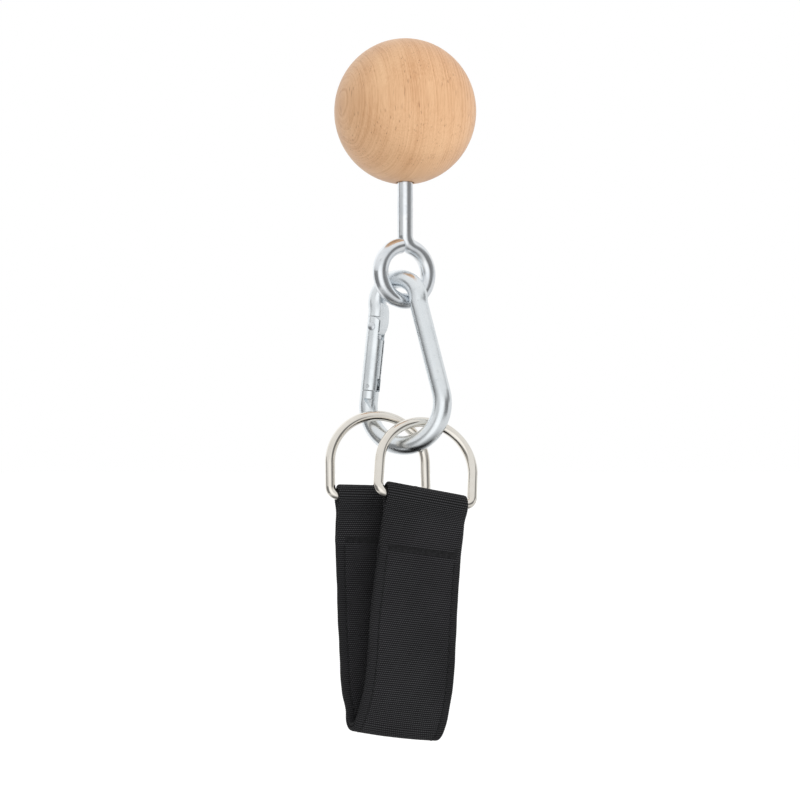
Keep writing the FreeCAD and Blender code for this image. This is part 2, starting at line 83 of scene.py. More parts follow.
# ------------------------------------------------------------------ sling dimensions, mm
PLY = 2.0               # thickness of one ply
PLY_OFFSET = 1.1        # a ply's centre from the middle of a two-ply leg
LAP_OFFSET = 3.3        # centre of the ply that laps over the turned-back end
LOOP_RADIUS = 4.6       # centre line round a ring bar
LOOP_WRAP = math.radians(100.0)     # the round part reaches this far each side of the top
LOOP_LENGTH = 11.0      # from the ring bar to where the loop becomes the flat leg
FLANK_PULL = 11.0       # Hermite pull at both ends of a loop's flank
HALF_WIDTH = 25.0
LOOP_HALF_WIDTH = 22.5
RIB_PITCH = 1.16        # one rib of the weave
SEAM_INSET = 3.92       # edge seam, in from the selvedge
LAP_PAST_ROW = 2.5      # the lapped ply starts stepping down this far below the cross row
END_PAST_ROW = 2.0      # the turned-back end stops this far below it
SEAM_PAST_ROW = 4.0     # the edge seams start this far below it

# The foot: both plies turn about an axis through FOLD_CENTER
FOLD_CENTER = vec(-5.6, -16.0, -339.6)
FOLD_RADIUS = 5.2       # middle of the two plies
FOLD_ACROSS = width_direction(yaw=15.5, roll=10.3)
FOLD_DRIFT = 1.5        # the strip drifts sideways by this much either way as it turns
FOLD_DOWN = unit(vec(0, 0, -1) - FOLD_ACROSS * np.dot(vec(0, 0, -1), FOLD_ACROSS))
FOLD_BACK = facing_back(np.cross(FOLD_ACROSS, FOLD_DOWN))


def sag(x):
    """The foot hangs lowest near its middle."""
    return 0.9 * (1 - ((x - 3.0) / 25.0) ** 2)


def foot_point(angle, radius, x):
    """A point on the turn: angle 0 at the back leg, pi at the front leg."""
    return (FOLD_CENTER + FOLD_BACK * (radius * math.cos(angle))
            + FOLD_DOWN * (radius * math.sin(angle) + sag(x)) + FOLD_ACROSS * x
            + FOLD_ACROSS * (FOLD_DRIFT * (2 * angle / math.pi - 1)))


class Leg:
    """A slightly bent sheet through a few stations, from its ring bar down to the foot.

    side: -1 front, +1 back. row_at: the cross-stitched row, below the loop. dip: how low the loop
    hangs at x 0 and its slope over x. lap_extra: how much wider the lapped ply is laid at the
    loop. wave_seed: phase of the unevenness. stations: center, yaw, roll, half width.
    """

    def __init__(self, bar, across, side, row_at, dip, lap_extra, wave_seed, stations):
        self.bar, self.loop_across, self.side = bar, across, side
        self.row_at, self.lap_step = row_at, row_at + LAP_PAST_ROW
        self.dip_middle, self.dip_slope = dip
        self.lap_extra, self.wave_seed = lap_extra, wave_seed
        drop = stations[0][0] - bar
        self.down = unit(drop - across * drop.dot(across))
        self.back = facing_back(np.cross(across, self.down))
        self.skew = drop.dot(across) / drop.dot(self.down)

        centers = [bar + self.down * LOOP_LENGTH + across * self.skew * LOOP_LENGTH]
        acrosses = [across]
        half_widths = [LOOP_HALF_WIDTH]
        for center, yaw, roll, half_width in stations:
            centers.append(center)
            acrosses.append(width_direction(yaw, roll))
            half_widths.append(half_width)
        centers.append(FOLD_CENTER + FOLD_BACK * side * FOLD_RADIUS
                       - FOLD_ACROSS * side * FOLD_DRIFT)
        acrosses.append(FOLD_ACROSS)
        half_widths.append(HALF_WIDTH)

        self.centers, self.acrosses = np.array(centers), np.array(acrosses)
        self.half_widths = half_widths
        steps = np.linalg.norm(np.diff(self.centers, axis=0), axis=1)
        self.stops = np.concatenate([[0], np.cumsum(steps)])
        self.length = self.stops[-1]
        self.center_slopes = np.gradient(self.centers, self.stops, axis=0)
        self.center_slopes[0] = unit(self.down + across * self.skew)
        self.center_slopes[-1] = unit(FOLD_DOWN + FOLD_ACROSS * side * 0.20)
        self.across_slopes = np.gradient(self.acrosses, self.stops, axis=0)
        self.across_slopes[0] *= 0.3
        self.across_slopes[-1] *= 0.3

    def stretch(self, values, slopes, along):
        """Arguments of hermite() for the stretch that holds along."""
        i = int(np.clip(np.searchsorted(self.stops, along) - 1, 0, len(self.stops) - 2))
        length = self.stops[i + 1] - self.stops[i]
        t = min(1.0, max(0.0, (along - self.stops[i]) / length))
        return values[i], length * slopes[i], values[i + 1], length * slopes[i + 1], t

    def half_width(self, along):
        return float(np.interp(along, self.stops, self.half_widths))

    def dip(self, x):
        """The loop hangs on its bar a little lower at one end."""
        return self.dip_middle + self.dip_slope * x

    def back_offset(self, along):
        """Centre of the rearmost ply: over the turned-back end, then stepping down past it."""
        step = smooth((along - self.lap_step) / 4.5)
        return LAP_OFFSET + (PLY_OFFSET - LAP_OFFSET) * step

    def wave(self, along, x):
        """The slow unevenness of sewn webbing, shared by every layer of the leg."""
        fade = smooth(along / 12.0) * smooth((self.length - along) / 14.0)
        seed = self.wave_seed
        return fade * (0.15 * math.sin(along / 11.0 + x / 17.0 + seed)
                       + 0.10 * math.sin(along / 6.3 - x / 9.0 + 2.1 * seed)
                       + 0.30 * math.sin(along / 37.0 + 1.3 * seed) * (x / 25.0) ** 2)

    def section(self, along):
        """place(x, offset towards the back) for the section at along, and its normal."""
        path = self.stretch(self.centers, self.center_slopes, along)
        center = hermite(*path)
        across = unit(hermite(*self.stretch(self.acrosses, self.across_slopes, along)))
        normal = facing_back(unit(np.cross(across, hermite_slope(*path))))
        sagging = smooth((along - self.length + 16.0) / 16.0)

        def place(x, offset):
            return (center + across * x + normal * (offset + self.wave(along, x))
                    + FOLD_DOWN * (sagging * sag(x)))
        return place, normal


FRONT_ACROSS = leaned(width_direction(yaw=18.13, roll=3.33), -22.13)
FRONT = Leg(
    bar=vec(10.71, -29.01, -215.27) + FRONT_ACROSS * 0.5,
    across=FRONT_ACROSS,
    side=-1, row_at=17.5, dip=(0.28, 0.026), lap_extra=-1.8, wave_seed=0.7,
    stations=[(vec(7.95, -27.0, -246.0), 22.3, 9.9, 24.0),
              (vec(4.64, -24.8, -283.0), 19.8, 10.1, 24.6),
              (vec(2.98, -23.0, -310.0), 20.2, 10.2, 24.9),
              (vec(0.62, -21.8, -327.0), 18.9, 10.3, 25.0)])
BACK = Leg(
    bar=vec(-14.65, -18.43, -214.28),
    across=leaned(width_direction(yaw=13.88, roll=-1.35), -10.21),
    side=1, row_at=13.5, dip=(0.35, 0.021), lap_extra=0.3, wave_seed=3.9,
    stations=[(vec(-14.25, -15.6, -246.0), 14.5, 3.5, 24.0),
              (vec(-12.81, -14.0, -283.0), 15.0, 6.3, 24.6),
              (vec(-11.41, -12.2, -310.0), 15.2, 8.6, 24.9),
              (vec(-10.42, -11.4, -327.0), 15.4, 9.7, 25.0)])


# ------------------------------------------------------------------ path of a strip
# A track is a list of samples: place(x across, offset along the normal), half width and
# how far the edge seam is sewn there (0 to 1).
def loop_sample(leg, point, normal, half_width=LOOP_HALF_WIDTH):
    """In the plane across the ring bar; point and normal are (towards back, down)."""
    back, down = point
    hang = 1 - smooth((down - 2.0) / (LOOP_LENGTH - 2.0))

    def place(x, offset):
        return (leg.bar + leg.back * (back + normal[0] * offset)
                + leg.down * (down + normal[1] * offset + hang * leg.dip(x))
                + leg.loop_across * (leg.skew * down + x))
    return place, half_width, 0.0


def leg_sample(leg, along, center_offset, sign, extra=0.0):
    section, _ = leg.section(along)

    def place(x, offset):
        return section(x, center_offset + sign * offset)
    return place, leg.half_width(along) + extra, smooth((along - leg.lap_step) / 2.0)


def foot_sample(radius, angle, sign):
    def place(x, offset):
        return foot_point(angle, radius + sign * offset, x)
    return place, HALF_WIDTH, 1.0


def normal_of(tangent):
    return vec(tangent[1], -tangent[0])


def loop_radial(angle):
    return vec(math.sin(angle), -math.cos(angle))


def flank_sample(leg, side, t):
    """From the round of the loop (t 0) to the flat leg (t 1), on its front or back side."""
    angle = side * LOOP_WRAP
    curve = (LOOP_RADIUS * loop_radial(angle),
             vec(math.cos(angle), math.sin(angle)) * side * FLANK_PULL,
             vec(side * PLY_OFFSET, LOOP_LENGTH), vec(0, FLANK_PULL))
    tangent = unit(hermite(*curve, min(1, t + 0.01)) - hermite(*curve, max(0, t - 0.01)))
    return loop_sample(leg, hermite(*curve, t), side * normal_of(tangent))


def lap_sample(leg, t):
    """The lapped end, lying over the back of the other strip's loop."""
    curve = vec(6.6, 3.8), vec(-2.8, 7.0), vec(LAP_OFFSET, LOOP_LENGTH), vec(0, 9.0)
    point = hermite(*curve, t)
    tangent = unit(hermite(*curve, t + 0.01) - point)
    return loop_sample(leg, point, normal_of(tangent), LOOP_HALF_WIDTH + leg.lap_extra)


def strip_track(lapped, looped):
    """Down the back of one leg, round the foot, up the front of the other, over its ring, down."""
    side = lapped.side
    track = [lap_sample(lapped, t) for t in np.linspace(0, 1, 14)[:-1]]
    for along in np.linspace(0, lapped.length, 150)[:-1]:
        extra = lapped.lap_extra * (1 - smooth((along - lapped.row_at) / 5.0))
        track.append(leg_sample(lapped, along, lapped.back_offset(along), 1, extra))
    turn = (0, math.pi) if side > 0 else (math.pi, 0)
    for angle in np.linspace(*turn, 26)[:-1]:
        track.append(foot_sample(FOLD_RADIUS + side * PLY_OFFSET, angle, side))
    for along in np.linspace(looped.length, 0, 150)[:-1]:
        track.append(leg_sample(looped, along, -PLY_OFFSET, -1))
    for t in np.linspace(1, 0, 14)[:-1]:
        track.append(flank_sample(looped, -1, t))
    for angle in np.linspace(-LOOP_WRAP, LOOP_WRAP, 30)[:-1]:
        radial = loop_radial(angle)
        track.append(loop_sample(looped, LOOP_RADIUS * radial, radial))
    for t in np.linspace(0, 1, 14)[:-1]:
        track.append(flank_sample(looped, 1, t))
    for along in np.linspace(0, looped.row_at + END_PAST_ROW, 30):
        track.append(leg_sample(looped, along, PLY_OFFSET, 1))
    return track


# ------------------------------------------------------------------ meshes
def mesh_object(name, points_mm, faces, weave=None):
    mesh = bpy.data.meshes.new(name)
    mesh.from_pydata((points_mm * MM).tolist(), [], faces)
    if weave is not None:
        attribute = mesh.attributes.new("weave", "FLOAT_VECTOR", "POINT")
        attribute.data.foreach_set("vector", weave.astype(np.float32).ravel())
    mesh.polygons.foreach_set("use_smooth", [True] * len(mesh.polygons))
    mesh.validate()
    made = bpy.data.objects.new(name, mesh)
    bpy.context.scene.collection.objects.link(made)
    return made


def side_faces(rings, per_ring):
    """Quads between neighbouring closed rings."""
    faces = []
    for i in range(rings - 1):
        here, there = i * per_ring, (i + 1) * per_ring
        for j in range(per_ring):
            k = (j + 1) % per_ring
            faces.append((here + j, here + k, there + k, there + j))
    return faces


def strip_cap(first, columns_count, flip):
    """End of a strip; first is the index of the ring's first point."""
    bottom = first + 2 * columns_count
    cap = [(first + j, bottom - j, bottom - j - 1, first + j + 1)
           for j in range(columns_count - 1)]
    cap.append((first, bottom + 1, bottom))
    cap.append((first + columns_count - 1, first + columns_count + 1, first + columns_count))
    return [face[::-1] for face in cap] if flip else cap


# columns of points, as a distance in from each selvedge, closer together at the seam
EDGE_COLUMNS = [0.0, 0.45, 1.1, 2.0, 2.9, 3.45, 3.75, 3.95, 4.2, 4.6, 5.6]
MIDDLE_COLUMNS = 19


def columns(half_width):
    left = [-half_width + inset for inset in EDGE_COLUMNS]
    inner = half_width - EDGE_COLUMNS[-1]
    middle = list(np.linspace(-inner, inner, MIDDLE_COLUMNS + 2)[1:-1])
    return left + middle + [-x for x in reversed(left)]


def resample(values, stops, along):
    """Values given at stops, read off linearly at along."""
    i = np.clip(np.searchsorted(stops, along) - 1, 0, len(stops) - 2)
    t = (along - stops[i]) / (stops[i + 1] - stops[i])
    t = t.reshape((-1,) + (1,) * (values.ndim - 1))
    return values[i] * (1 - t) + values[i + 1] * t


def normalized(vectors):
    return vectors / np.linalg.norm(vectors, axis=-1, keepdims=True)


def soften(rows):
    """Blurs the joins between the stretches of the path."""
    for _ in range(6):
        rows[1:-1] = 0.25 * rows[:-2] + 0.5 * rows[1:-1] + 0.25 * rows[2:]


def rib_height(along, phase):
    return np.abs(np.sin(math.pi * (along / RIB_PITCH + phase))) ** 0.6


def thicknesses(along, x, inset, sewn, phase):
    """Height of the upper and lower faces over the middle surface."""
    sealed = np.clip(np.minimum(along, along[-1] - along) / 1.6, 0, 1)
    sealed = (sealed * sealed * (3 - 2 * sealed))[:, None]     # thinner at the cut ends
    half = (PLY / 2 - 0.10) * (0.72 + 0.28 * sealed)
    groove = 0.26 * sewn[:, None] * np.exp(-((inset - SEAM_INSET) / 0.34) ** 2)
    lip = 1 - 0.36 * np.exp(-(inset / 0.50) ** 2)               # the selvedge rolls over
    # yarn-by-yarn unevenness, fixed by a small hash of row and column
    row = np.floor(along / RIB_PITCH + phase)[:, None]
    uneven = np.sin(row * 12.9898 + np.round(x / 1.1) * 78.233) * 43758.5453
    uneven = 0.035 * ((uneven - np.floor(uneven)) - 0.5)

    def face(rib_phase, yarn):
        rib = 0.20 * rib_height(along, rib_phase)[:, None] * (0.55 + 0.45 * lip)
        return half * lip + (rib + yarn) * sealed - groove
    return face(phase, uneven), face(phase + 0.5, -uneven)


def wobble(along, lengths, starts):
    """Slight waviness of one selvedge."""
    return sum(height * np.sin(along / length + start)
               for height, length, start in zip((0.09, 0.07, 0.14), lengths, starts))


def build_strip(name, track, phase):
    """A closed mesh of one strip of ribbed webbing."""
    middles = np.array([place(0.0, 0.0) for place, _, _ in track])
    steps = np.linalg.norm(np.diff(middles, axis=0), axis=1)
    stops = np.concatenate([[0], np.cumsum(steps)])
    total = stops[-1]
    along = np.linspace(0, total, int(total / (RIB_PITCH / 4.0)) + 1)
    sewn = np.interp(along, stops, [sewn_here for _, _, sewn_here in track])

    # middle surface and normal, taken at the track's samples and read off between them
    grid = np.array([[(place(x, 0.0), place(x, 1.0)) for x in columns(half_width)]
                     for place, half_width, _ in track])
    middle = resample(grid[:, :, 0], stops, along)
    normal = normalized(resample(grid[:, :, 1] - grid[:, :, 0], stops, along))
    x = resample(np.array([columns(half_width) for _, half_width, _ in track]), stops, along)
    soften(middle)
    soften(normal)
    normal = normalized(normal)
    across = normalized(middle[:, -1] - middle[:, 0])
    inset = np.minimum(x - x[:, :1], x[:, -1:] - x)
    upper, lower = thicknesses(along, x, inset, sewn, phase)

    left_wobble = wobble(along, (5.1, 2.3, 14.0), (phase * 9, 1.7, phase * 5))
    right_wobble = wobble(along, (4.6, 2.6, 16.0), (1.1 + phase * 7, 0.0, 2.0))
    shift = np.where(x < 0, -left_wobble[:, None], right_wobble[:, None])
    shift = shift * np.exp(-inset / 2.5) * 0.8
    middle = middle + across[:, None, :] * shift[:, :, None]

    # each row is a closed ring: upper face, right selvedge, lower face reversed, left selvedge
    top = middle + normal * upper[:, :, None]
    bottom = middle - normal * lower[:, :, None]
    bulge = across * (0.28 + 0.22 * rib_height(along, phase))[:, None]
    left = (middle[:, 0] - bulge)[:, None]
    right = (middle[:, -1] + bulge)[:, None]
    rings = np.concatenate([top, right, bottom[:, ::-1], left], axis=1)
    rows, per_ring = rings.shape[:2]
    count = x.shape[1]
    faces = side_faces(rows, per_ring)
    faces += strip_cap(0, count, flip=False)
    faces += strip_cap((rows - 1) * per_ring, count, flip=True)

    # weave: mm across, mm along and mm in from the selvedge
    weave_x = np.concatenate([x, x[:, -1:] + 0.4, x[:, ::-1], x[:, :1] - 0.4], axis=1)
    outside = np.full((rows, 1), -0.4)
    weave_inset = np.concatenate([inset, outside, inset[:, ::-1], outside], axis=1)
    # far out of reach where not sewn, so that the painted shade of the seam groove shows only where
    # the seam is
    weave_inset = np.where(sewn[:, None] > 0.5, weave_inset, weave_inset + 40.0)
    weave_along = np.repeat((along + phase * RIB_PITCH)[:, None], per_ring, axis=1)
    weave_along[:, count + 1:2 * count + 1] += RIB_PITCH / 2   # the faces are half a rib apart
    weave = np.stack([weave_x, weave_along, weave_inset], axis=2)
    return mesh_object(name, rings.reshape(-1, 3), faces, weave)


# ------------------------------------------------------------------ threads
THREAD_SIDES = 8
THREAD_FLATNESS = 0.75


def thread_tube(path, radius):
    """A closed thread along (point, normal) pairs; returns its points and faces."""
    points = np.array([point for point, _ in path])
    tangents = normalized(np.gradient(points, axis=0))
    sideways = normalized(np.cross(tangents, np.array([normal for _, normal in path])))
    normals = np.cross(sideways, tangents)
    count = len(points)
    radii = np.full(count, radius)
    radii[[0, -1]] = radius * 0.55
    radii = radii[:, None, None]
    angles = np.linspace(0, 2 * math.pi, THREAD_SIDES, endpoint=False)[None, :, None]
    rings = (points[:, None] + sideways[:, None] * (np.cos(angles) * radii)
             + normals[:, None] * (np.sin(angles) * radii * THREAD_FLATNESS))
    faces = side_faces(count, THREAD_SIDES)
    faces.append(tuple(range(THREAD_SIDES))[::-1])
    faces.append(tuple((count - 1) * THREAD_SIDES + j for j in range(THREAD_SIDES)))
    return rings.reshape(-1, 3), faces


def join_threads(name, threads):
    faces, offset = [], 0
    for points, thread_faces in threads:
        faces.extend(tuple(i + offset for i in face) for face in thread_faces)
        offset += len(points)
    return mesh_object(name, np.concatenate([points for points, _ in threads]), faces)


def leg_face(leg, along, x, face, lift):
    """Point and normal on a leg's outer face: -1 front, +1 back; lift is above the fabric."""
    place, normal = leg.section(along)
    if face < 0:
        offset = -(PLY_OFFSET + PLY / 2 + lift)
    else:
        offset = leg.back_offset(along) + PLY / 2 + lift
    return place(x, offset), normal * face


def foot_face(angle, x, face, lift):
    """Point and normal on the foot: face +1 outside the turn, -1 inside."""
    radius = FOLD_RADIUS + (PLY_OFFSET + PLY / 2 + lift) * face
    return (foot_point(angle, radius, x),
            (FOLD_BACK * math.cos(angle) + FOLD_DOWN * math.sin(angle)) * face)


def seam_run(face, edge, pitch=3.9, stitch_length=3.0, radius=0.34):
    """One seam down the back leg, round the foot and up the front leg.

    face: +1 on the outside of the sling, -1 on the inside. edge: -1 left, +1 right.
    """
    back_start = BACK.row_at + SEAM_PAST_ROW
    foot_radius = FOLD_RADIUS + (PLY_OFFSET + PLY / 2) * face
    foot_start = BACK.length - back_start
    front_start = foot_start + math.pi * foot_radius
    total = front_start + FRONT.length - (FRONT.row_at + SEAM_PAST_ROW)

    def place(run, shift, lift):
        def seam_x(half_width):
            return edge * (half_width - SEAM_INSET) + shift
        if run < foot_start:
            along = back_start + run
            return leg_face(BACK, along, seam_x(BACK.half_width(along)), face, lift)
        if run < front_start:
            return foot_face((run - foot_start) / foot_radius, seam_x(HALF_WIDTH), face, lift)
        along = FRONT.length - (run - front_start)
        return leg_face(FRONT, along, seam_x(FRONT.half_width(along)), -face, lift)

    stitches, run = [], 0.8
    while run + stitch_length < total:
        stray = 0.10 * math.sin(run * 1.7 + edge)
        path = []
        for t in np.linspace(0, 1, 9):
            lift = -0.42 + 0.50 * math.sin(math.pi * t) ** 0.6
            path.append(place(run + t * stitch_length, stray + 0.12 * (t - 0.5) * edge, lift))
        run += pitch + 0.15 * math.sin(len(stitches) * 2.4)
        stitches.append(thread_tube(path, radius))
    return stitches


def cross_row(leg, face, x_start=-19.6, x_end=20.4, pitch=1.7, reach=2.0, radius=0.24):
    """A zigzag row across a leg, sewn twice out of step so that the threads cross."""
    threads = []
    count = int((x_end - x_start) / pitch * 8)
    for phase, raised in ((0.0, 0.0), (0.5, 0.05)):
        path = []
        for i in range(count + 1):
            x = x_start + (x_end - x_start) * i / count
            angle = 2 * math.pi * ((x - x_start) / pitch + phase)
            zigzag = (2 / math.pi) * math.asin(math.sin(angle))
            along = leg.row_at + reach * zigzag + 0.15 * math.sin(x * 0.9)
            lift = -0.10 + 0.20 * abs(math.cos(angle)) + raised
            path.append(leg_face(leg, along, x, face, lift))
        threads.append(thread_tube(path, radius))
    return threads


def back_tack(leg, face, x, above, below, turns=7, reach=0.75, radius=0.26, count=110):
    """A dense bar at the end of the cross row, from above it to below it."""
    start, end = leg.row_at - above, leg.row_at + below
    path = []
    for i in range(count + 1):
        t = i / count
        angle = t * 2 * math.pi * turns
        path.append(leg_face(leg, start + (end - start) * t, x + reach * math.sin(angle),
                             face, -0.02 + 0.12 * abs(math.cos(angle))))
    return thread_tube(path, radius)


# ------------------------------------------------------------------ shader graphs
class Graph:
    """A node tree with short methods that add a node and return its output."""

    def __init__(self, tree):
        self.tree = tree
        tree.nodes.clear()

    def node(self, kind, **settings):
        made = self.tree.nodes.new(kind)
        for key, value in settings.items():
            setattr(made, key, value)
        return made

    def put(self, socket, value):
        if isinstance(value, bpy.types.NodeSocket):
            self.tree.links.new(value, socket)
        else:
            socket.default_value = value

    def fill(self, made, *values):
        for i, value in enumerate(values):
            self.put(made.inputs[i], value)
        return made.outputs

    def math(self, operation, a, b=0.0):
        return self.fill(self.node("ShaderNodeMath", operation=operation), a, b)[0]

    def add(self, a, b):
        return self.math("ADD", a, b)

    def sub(self, a, b):
        return self.math("SUBTRACT", a, b)

    def mul(self, a, b):
        return self.math("MULTIPLY", a, b)

    def scale(self, value, by):
        return self.math("MULTIPLY", value, by)

    def power(self, value, exponent):
        return self.math("POWER", value, exponent)

    def vector_math(self, operation, a, b=(0, 0, 0)):
        return self.fill(self.node("ShaderNodeVectorMath", operation=operation), a, b)[0]

    def remap(self, value, span, to=(0.0, 1.0), clamp=True):
        return self.fill(self.node("ShaderNodeMapRange", clamp=clamp), value, *span, *to)[0]

    def combine(self, x, y, z):
        return self.fill(self.node("ShaderNodeCombineXYZ"), x, y, z)[0]

    def separate(self, vector):
        return self.fill(self.node("ShaderNodeSeparateXYZ"), vector)

    def stretched(self, vector, factors):
        mapping = self.node("ShaderNodeMapping")
        self.put(mapping.inputs["Vector"], vector)
        mapping.inputs["Scale"].default_value = factors
        return mapping.outputs[0]

    def noise(self, vector, scale=1.0, detail=3.0, rough=0.5, stretch=None):
        if stretch:
            vector = self.stretched(vector, stretch)
        made = self.node("ShaderNodeTexNoise")
        self.put(made.inputs["Vector"], vector)
        made.inputs["Scale"].default_value = scale
        made.inputs["Detail"].default_value = detail
        made.inputs["Roughness"].default_value = rough
        return made.outputs["Fac"]


class Material(Graph):
    """A material with one Principled shader."""

    def __init__(self, name):
        self.material = bpy.data.materials.new(name)
        self.material.use_nodes = True
        super().__init__(self.material.node_tree)
        output = self.node("ShaderNodeOutputMaterial")
        self.shader = self.node("ShaderNodeBsdfPrincipled")
        self.put(output.inputs["Surface"], self.shader.outputs["BSDF"])

    def set(self, name, value):
        self.put(self.shader.inputs[name], value)

    def position(self):
        return self.node("ShaderNodeTexCoord").outputs["Object"]

    def mix(self, factor, a, b):
        made = self.node("ShaderNodeMix", data_type="RGBA")
        self.put(made.inputs[0], factor)
        self.put(made.inputs[6], a)
        self.put(made.inputs[7], b)
        return made.outputs[2]

    def ramp(self, factor, stops):
        made = self.node("ShaderNodeValToRGB")
        elements = made.color_ramp.elements
        while len(elements) > 1:
            elements.remove(elements[-1])
        elements[0].position, elements[0].color = stops[0]
        for position, color in stops[1:]:
            elements.new(position).color = color
        return self.fill(made, factor)[0]

    def cells(self, vector):
        """Distance to the nearest cell point, and the cell's random colour channels."""
        made = self.node("ShaderNodeTexVoronoi", feature="F1")
        self.put(made.inputs["Vector"], vector)
        made.inputs["Scale"].default_value = 0.8
        return made.outputs["Distance"], self.separate(made.outputs["Color"])

    def set_bump(self, height, distance, strength, normal=None):
        made = self.node("ShaderNodeBump")
        made.inputs["Strength"].default_value = strength
        made.inputs["Distance"].default_value = distance
        self.put(made.inputs["Height"], height)
        if normal is not None:
            self.put(made.inputs["Normal"], normal)
        self.set("Normal", made.outputs[0])


def srgb(*channels):
    """sRGB 0-255 to linear RGBA."""
    def linear(value):
        value /= 255.0
        return value / 12.92 if value <= 0.04045 else ((value + 0.055) / 1.055) ** 2.4
    return tuple(linear(channel) for channel in channels) + (1.0,)


# ------------------------------------------------------------------ materials
def wood(name, pith, light, middle, dark, seed=0.0):
    """Pale hardwood: growth rings round a near-upright pith, short dark pores along the grain.

    pith: x and y in mm at z 0, then how far it moves towards -x and -y per mm of height.
    """
    mat = Material(name)
    place = mat.vector_math("SCALE", mat.position())
    place.node.inputs[3].default_value = 1000.0     # metres to mm
    warp = mat.noise(place, stretch=(0.030, 0.030, 0.011), detail=2.0)
    warp = mat.remap(warp, span=(0.0, 1.0), to=(-2.6, 2.6))
    x, y, z = mat.separate(place)
    from_x = mat.add(mat.sub(x, pith[0]), mat.mul(z, pith[2]))
    from_y = mat.add(mat.sub(y, pith[1]), mat.mul(z, pith[3]))
    radius = mat.math("SQRT", mat.add(mat.mul(from_x, from_x), mat.mul(from_y, from_y)))
    radius = mat.add(mat.add(radius, warp), seed)

    # slow noise over the radius makes the rings differ; late wood darkens the end of each
    band = mat.noise(mat.combine(mat.scale(radius, by=0.21), 0.0, 0.0), rough=0.55)
    rings = mat.add(mat.scale(radius, by=0.40), mat.scale(band, by=2.6))
    late = mat.power(mat.math("FRACT", rings), exponent=5.0)
    fine = mat.combine(mat.scale(radius, by=1.9), mat.scale(z, by=0.012), mat.scale(y, by=0.02))
    fine = mat.noise(fine, detail=4.0, rough=0.6)
    fibers = mat.noise(place, stretch=(1.7, 1.7, 0.085), detail=4.0, rough=0.6)
    cloud = mat.noise(place, stretch=(0.05, 0.05, 0.022))
    faint = mat.noise(place, stretch=(0.03, 0.03, 0.03), detail=2.0)
    faint = mat.remap(faint, span=(0.38, 0.62), to=(0.25, 1.0))

    # darkness: rings (stronger towards +x), fine lines, fibres and clouds, by weight
    tone = mat.mul(mat.mul(late, faint), mat.remap(x, span=(-30.0, 5.0), to=(0.08, 0.30)))
    for source, to, weight in ((fine, (-0.13, 0.87), 0.46), (fibers, (-0.12, 0.88), 0.36),
                               (cloud, (0.0, 1.0), 0.30)):
        share = mat.remap(source, span=(0.3, 0.7), to=to)
        tone = mat.add(tone, mat.scale(share, by=weight))
    color = mat.ramp(tone, [(0.0, light), (0.45, middle), (1.0, dark)])
    height = mat.scale(fibers, by=0.5)

    # large pores, long up the grain and only in some patches
    bend = mat.scale(mat.noise(place, stretch=(0.2, 0.2, 0.16), detail=2.0), by=2.4)
    bent = mat.vector_math("ADD", place, mat.combine(bend, 0.0, 0.0))
    bent = mat.stretched(bent, (1.0, 1.0, 0.065))
    distance, chance = mat.cells(mat.vector_math("ADD", bent, (seed, 3.1, 0.0)))
    pores = mat.remap(distance, span=(0.12, 0.27), to=(1.0, 0.0))
    patches = mat.noise(place, stretch=(0.10, 0.10, 0.05), detail=2.0)
    pores = mat.mul(pores, mat.remap(patches, span=(0.40, 0.54)))
    pores = mat.mul(pores, mat.math("GREATER_THAN", chance[0], 0.32))
    # small pores everywhere
    distance, chance = mat.cells(mat.stretched(place, (2.4, 2.4, 0.26)))
    specks = mat.remap(distance, span=(0.10, 0.26), to=(1.0, 0.0))
    specks = mat.mul(specks, mat.math("GREATER_THAN", chance[1], 0.55))
    color = mat.mix(mat.scale(specks, by=0.34), color, srgb(170, 116, 72))
    color = mat.mix(mat.scale(pores, by=0.60), color, srgb(142, 92, 54))
    height = mat.sub(height, mat.add(pores, mat.scale(specks, by=0.4)))

    mat.set("Base Color", color)
    mat.set("Roughness", mat.remap(fibers, span=(0.2, 0.8), to=(0.42, 0.56)))
    mat.set("Specular IOR Level", 0.50)
    mat.set("Coat Weight", 0.22)
    mat.set("Coat Roughness", 0.30)
    mat.set_bump(height, distance=0.00006, strength=0.7)
    return mat.material


def metal(name, base, tint, rough, grain, mottled, dull, bevel=0.0, wavy=0.0):
    """Metal with slight colour drift, uneven gloss, fine grain and, with bevel, soft edges."""
    mat = Material(name)
    place = mat.position()
    uneven = mat.noise(place, scale=150.0, detail=4.0, rough=0.6)
    fine = mat.noise(place, scale=1500.0, detail=3.0, rough=0.65)
    broad = mat.noise(place, scale=38.0, detail=2.0)
    drift = mat.add(mat.scale(uneven, by=0.6), mat.scale(broad, by=0.4))
    color = mat.mix(mat.remap(drift, span=(0.38, 0.62), to=(0.0, mottled)), base + (1,), tint + (1,))
    spots = mat.noise(place, scale=420.0, detail=2.0, rough=0.4)
    spots = mat.remap(spots, span=(0.66, 0.74), to=(0.0, 0.35))
    color = mat.mix(mat.scale(spots, by=dull), color, (0.42, 0.43, 0.45, 1.0))
    mat.set("Base Color", color)
    mat.set("Metallic", 1.0)
    gloss = mat.remap(uneven, span=(0.35, 0.65), to=(rough * 0.85, rough * 1.2))
    mat.set("Roughness", mat.add(gloss, mat.remap(fine, span=(0.3, 0.7), to=(-0.02, 0.03))))
    height = mat.add(mat.scale(fine, by=grain), mat.scale(uneven, by=grain * 1.5))
    if wavy:
        waves = mat.noise(place, scale=95.0, detail=1.0, rough=0.4)
        height = mat.add(height, mat.scale(waves, by=wavy))
    normal = None
    if bevel:
        edges = mat.node("ShaderNodeBevel", samples=4)
        edges.inputs["Radius"].default_value = bevel
        normal = edges.outputs[0]
    mat.set_bump(height, distance=0.0001, strength=0.5, normal=normal)
    return mat.material


